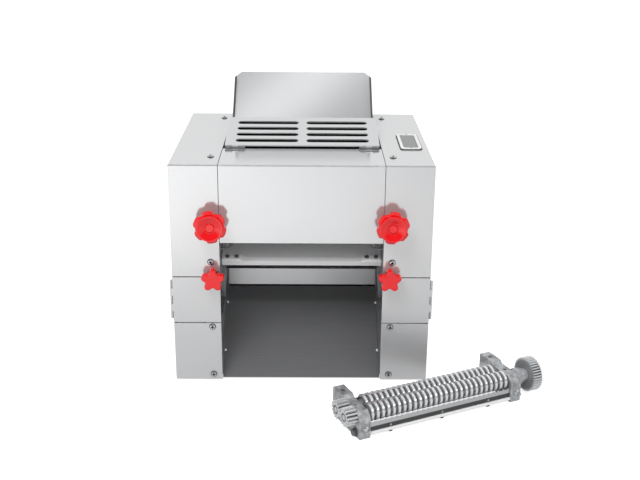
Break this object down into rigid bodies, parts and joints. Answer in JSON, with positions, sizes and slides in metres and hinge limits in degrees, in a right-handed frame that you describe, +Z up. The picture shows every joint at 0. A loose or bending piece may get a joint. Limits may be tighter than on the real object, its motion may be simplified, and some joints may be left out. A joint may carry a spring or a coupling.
{
  "type": "electric pasta maker",
  "caption": "Benchtop electric dough roller with steel casing, slotted feed guard, sloping feed plate, red adjusting knobs, outlet chute and a detached noodle cutter.",
  "frame": {"origin": "centre of the base plate's underside, on the machine's own middle plane", "axes": "+Z up, +Y to the back, +X to the right seen from the front; the detached cutter lies in front and to the right"},
  "size_m": [0.6373, 0.5966, 0.481],
  "materials": {
    "polished_steel": "polished stainless sheet",
    "brushed_steel": "satin stainless sheet",
    "dark_sheet": "dull stainless sheet",
    "cast_steel": "machined cast steel",
    "bright_steel": "ground and polished",
    "red_plastic": "glossy moulded",
    "black_rubber": "matt",
    "grey_membrane": "soft membrane",
    "white_plastic": "satin moulded",
    "black_plastic": "satin moulded",
    "green_plastic": "satin moulded",
    "motor_paint": "enamelled"
  },
  "bodies": {
    "root": {"base_plate": "dark_sheet", "front_left_foot": "black_rubber", "front_right_foot": "black_rubber", "rear_left_foot": "black_rubber", "rear_right_foot": "black_rubber", "left_frame_plate": "cast_steel", "right_frame_plate": "cast_steel", "left_side_cover": "polished_steel", "right_side_cover": "polished_steel", "left_lower_panel": "polished_steel", "right_lower_panel": "polished_steel", "left_upper_panel": "polished_steel", "right_upper_panel": "polished_steel", "front_cover": "polished_steel", "back_cover": "brushed_steel", "feed_plate": "polished_steel", "left_guard_hinge": "bright_steel", "right_guard_hinge": "bright_steel", "left_door_hinge": "bright_steel", "right_door_hinge": "bright_steel", "switch_frame": "white_plastic", "switch_membrane": "grey_membrane", "power_inlet": "black_plastic", "chute": "dark_sheet", "outlet_bar": "brushed_steel", "motor": "motor_paint", "drive_belt": "black_rubber", "left_scraper_spring": "bright_steel", "right_scraper_spring": "bright_steel"},
    "guard": {"guard": "polished_steel"},
    "left_door": {"left_door": "polished_steel"},
    "right_door": {"right_door": "polished_steel"},
    "left_star_washer": {"left_star_washer": "bright_steel"},
    "left_star_knob": {"left_star_knob": "red_plastic"},
    "right_star_washer": {"right_star_washer": "bright_steel"},
    "right_star_knob": {"right_star_knob": "red_plastic"},
    "left_adjusting_knob": {"left_adjusting_knob": "red_plastic"},
    "right_adjusting_knob": {"right_adjusting_knob": "red_plastic"},
    "roller_carriage": {"left_bearing_block": "cast_steel", "right_bearing_block": "cast_steel"},
    "front_roller": {"front_roller": "bright_steel", "front_roller_gear": "cast_steel"},
    "rear_roller": {"rear_roller": "bright_steel", "rear_roller_gear": "cast_steel", "main_drive_gear": "cast_steel"},
    "intermediate": {"intermediate_shaft": "cast_steel", "large_pulley": "cast_steel"},
    "motor_rotor": {"motor_pulley": "cast_steel"},
    "start_button": {"start_button": "green_plastic"},
    "stop_button": {"stop_button": "red_plastic"},
    "scraper": {"scraper": "brushed_steel"},
    "cutter": {"cutter_left_block": "cast_steel", "cutter_right_block": "cast_steel", "cutter_comb_bar": "brushed_steel", "cutter_tie_rod": "bright_steel"},
    "cutter_front": {"cutter_front_roller": "bright_steel", "cutter_front_pinion": "cast_steel", "cutter_drive_gear": "cast_steel"},
    "cutter_rear": {"cutter_rear_roller": "bright_steel", "cutter_rear_pinion": "cast_steel"}
  },
  "joints": [
    {"name": "guard_lift", "type": "hinge", "parent": "root", "child": "guard", "pos_m": [0, -0.0878, 0.3889], "axis": [1, 0, 0], "range_deg": [0, 100]},
    {"name": "left_door_swing", "type": "hinge", "parent": "root", "child": "left_door", "pos_m": [-0.2226, -0.19025, 0.1458], "axis": [0, 0, -1], "range_deg": [0, 110]},
    {"name": "right_door_swing", "type": "hinge", "parent": "root", "child": "right_door", "pos_m": [0.2226, -0.19025, 0.1458], "axis": [0, 0, 1], "range_deg": [0, 110]},
    {"name": "left_star_back_off", "type": "slide", "parent": "left_door", "child": "left_star_washer", "axis": [0, -1, 0], "range_m": [0, 0.0085]},
    {"name": "left_star_turn", "type": "hinge", "parent": "left_star_washer", "child": "left_star_knob", "pos_m": [-0.149, -0.2, 0.19], "axis": [0, -1, 0], "range_deg": [0, 3060]},
    {"name": "right_star_back_off", "type": "slide", "parent": "right_door", "child": "right_star_washer", "axis": [0, -1, 0], "range_m": [0, 0.0085]},
    {"name": "right_star_turn", "type": "hinge", "parent": "right_star_washer", "child": "right_star_knob", "pos_m": [0.149, -0.2, 0.19], "axis": [0, -1, 0], "range_deg": [0, 3060]},
    {"name": "left_knob_turn", "type": "hinge", "parent": "root", "child": "left_adjusting_knob", "pos_m": [-0.1508, -0.22, 0.286], "axis": [0, 1, 0], "range_deg": [0, 720]},
    {"name": "right_knob_turn", "type": "hinge", "parent": "root", "child": "right_adjusting_knob", "pos_m": [0.1508, -0.22, 0.286], "axis": [0, 1, 0], "range_deg": [0, 720]},
    {"name": "roller_close", "type": "slide", "parent": "root", "child": "roller_carriage", "axis": [0, 1, 0], "range_m": [0, 0.004]},
    {"name": "front_roller_spin", "type": "hinge", "parent": "roller_carriage", "child": "front_roller", "pos_m": [0, -0.0825, 0.286], "axis": [1, 0, 0], "continuous": true},
    {"name": "rear_roller_spin", "type": "hinge", "parent": "root", "child": "rear_roller", "pos_m": [0, -0.0215, 0.286], "axis": [1, 0, 0], "continuous": true},
    {"name": "intermediate_spin", "type": "hinge", "parent": "root", "child": "intermediate", "pos_m": [0.18, 0.03385, 0.23104], "axis": [1, 0, 0], "continuous": true},
    {"name": "motor_spin", "type": "hinge", "parent": "root", "child": "motor_rotor", "pos_m": [0.18, 0.11, 0.072], "axis": [1, 0, 0], "continuous": true},
    {"name": "start_press", "type": "slide", "parent": "root", "child": "start_button", "axis": [0, 0, -1], "range_m": [0, 0.002], "stiffness_N_per_m": 800, "springref_m": -0.001},
    {"name": "stop_press", "type": "slide", "parent": "root", "child": "stop_button", "axis": [0, 0, -1], "range_m": [0, 0.002], "stiffness_N_per_m": 800, "springref_m": -0.001},
    {"name": "scraper_tilt", "type": "hinge", "parent": "root", "child": "scraper", "pos_m": [0, -0.15994, 0.205], "axis": [-1, 0, 0], "range_deg": [0, 2], "stiffness_Nm_per_rad": 0.5, "springref_deg": -6.88, "deforming": ["left_scraper_spring", "right_scraper_spring"]},
    {"name": "cutter_lift", "type": "slide", "parent": "root", "child": "cutter", "axis": [0, 0, 1], "range_m": [0, 0.05]},
    {"name": "cutter_front_spin", "type": "hinge", "parent": "cutter", "child": "cutter_front", "pos_m": [0.22445, -0.31094, 0.027], "axis": [0.9039, 0.4278, 0], "continuous": true},
    {"name": "cutter_rear_spin", "type": "hinge", "parent": "cutter", "child": "cutter_rear", "pos_m": [0.21247, -0.28563, 0.027], "axis": [0.9039, 0.4278, 0], "continuous": true}
  ],
  "couplings": [
    {"joint": "left_star_turn", "follows": "left_star_back_off", "rad_per_m": 6283.2},
    {"joint": "right_star_turn", "follows": "right_star_back_off", "rad_per_m": 6283.2},
    {"joint": "left_knob_turn", "follows": "roller_close", "rad_per_m": 3141.6},
    {"joint": "right_knob_turn", "follows": "roller_close", "rad_per_m": 3141.6},
    {"joint": "scraper_tilt", "follows": "roller_close", "rad_per_m": 4.4},
    {"joint": "front_roller_spin", "follows": "rear_roller_spin", "ratio": -1},
    {"joint": "intermediate_spin", "follows": "rear_roller_spin", "ratio": -3.3333},
    {"joint": "motor_spin", "follows": "rear_roller_spin", "ratio": -11.296},
    {"joint": "cutter_rear_spin", "follows": "cutter_front_spin", "ratio": -1}
  ]
}
